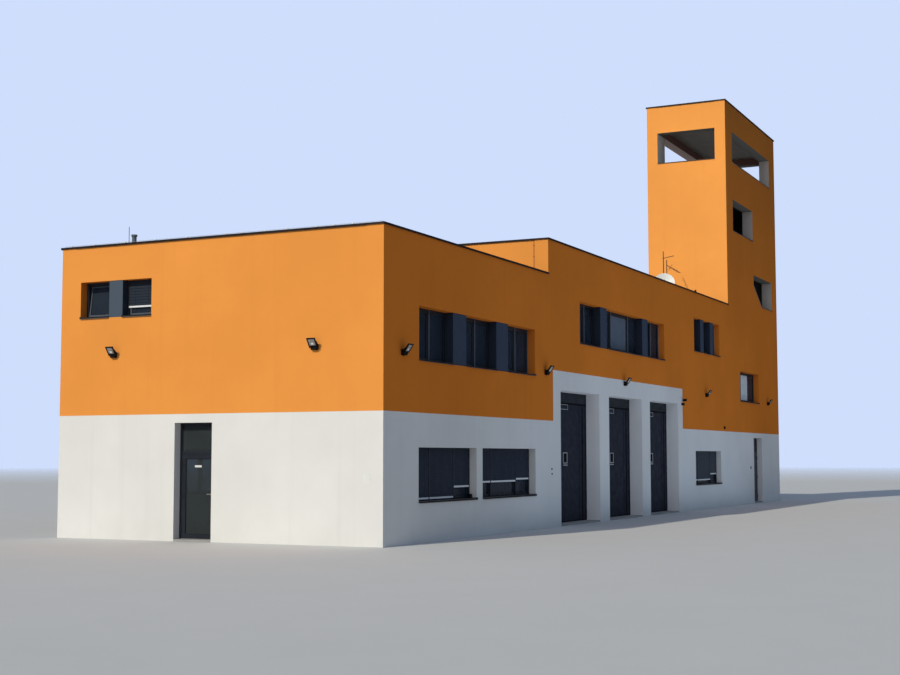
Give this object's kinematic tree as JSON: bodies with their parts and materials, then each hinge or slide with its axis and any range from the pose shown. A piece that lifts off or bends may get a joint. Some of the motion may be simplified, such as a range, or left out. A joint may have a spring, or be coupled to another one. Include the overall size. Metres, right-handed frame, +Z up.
{
  "type": "fire training building with tower",
  "caption": "Long two-storey fire service building with rendered walls, framed vehicle doors, strip windows, flat roofs and an open lookout tower; the doors for people swing.",
  "frame": {"origin": "middle of the plan on the ground, on the underside of the ground slab", "axes": "+X along the street face towards the tower, +Y from the street face into the building, +Z up"},
  "size_m": [39.18, 9.68, 17.17],
  "materials": {
    "orange_render": "fine rendered masonry, orange",
    "white_render": "fine rendered masonry, white",
    "concrete": "bare concrete",
    "roof_membrane": "pale grey roofing",
    "coping_metal": "dark satin",
    "frame_metal": "anthracite satin",
    "panel_metal": "grey satin",
    "door_metal": "anthracite satin",
    "sill_metal": "grey satin",
    "blind_metal": "grey satin",
    "window_glass": "clear",
    "handle_steel": "brushed",
    "lamp_black": "satin",
    "mast_steel": "galvanised",
    "dish_white": "satin",
    "plate_white": "satin"
  },
  "bodies": {
    "building": {"front_wall_low_left": "white_render", "front_wall_low_right": "white_render", "front_wall_end_pier": "white_render", "doorway_lintels": "white_render", "front_wall_up_left": "orange_render", "front_wall_up_mid": "orange_render", "portal_piers": "white_render", "portal_lintel": "white_render", "left_wall_low_front": "white_render", "left_wall_low_back": "white_render", "left_wall_up": "orange_render", "right_wall_low": "white_render", "right_wall_up": "orange_render", "back_wall_low": "white_render", "back_wall_up": "orange_render", "hall_end_wall": "orange_render", "tower_front_wall": "orange_render", "tower_back_wall": "orange_render", "tower_left_wall": "orange_render", "tower_right_wall": "orange_render", "tower_sills": "coping_metal", "ground_slab": "concrete", "first_floor_slabs": "concrete", "low_roof_slab": "roof_membrane", "high_roof_slab": "roof_membrane", "tower_deck": "concrete", "tower_roof": "concrete", "low_roof_coping": "coping_metal", "high_roof_coping": "coping_metal", "tower_coping": "coping_metal", "front_window_frames": "frame_metal", "left_window_frames": "frame_metal", "rear_window_frames": "frame_metal", "front_window_glass": "window_glass", "left_window_glass": "window_glass", "rear_window_glass": "window_glass", "window_sills": "sill_metal", "infill_panels": "panel_metal", "window_blinds": "blind_metal", "blind_guides": "frame_metal", "bay_door_1": "door_metal", "bay_door_2": "door_metal", "bay_door_3": "door_metal", "bay_door_transoms": "panel_metal", "service_door_frame": "frame_metal", "side_door_frame": "frame_metal", "door_fanlights": "window_glass", "floodlights": "lamp_black", "antenna_masts": "mast_steel", "satellite_dish": "dish_white", "roof_vent": "mast_steel", "lightning_conductor": "mast_steel", "sign_plate": "plate_white"},
    "service_door": {"service_door_leaf": "door_metal", "service_door_handle": "handle_steel"},
    "side_door": {"side_door_leaf": "frame_metal", "side_door_glass": "window_glass", "side_door_handle": "handle_steel"}
  },
  "joints": [
    {"name": "service_door_hinge", "type": "hinge", "parent": "building", "child": "service_door", "pos_m": [16.0555, -4.477, 0], "axis": [0, 0, 1], "range_deg": [0, 90]},
    {"name": "side_door_hinge", "type": "hinge", "parent": "building", "child": "side_door", "pos_m": [-19.227, 1.0255, 0], "axis": [0, 0, -1], "range_deg": [0, 90]}
  ]
}
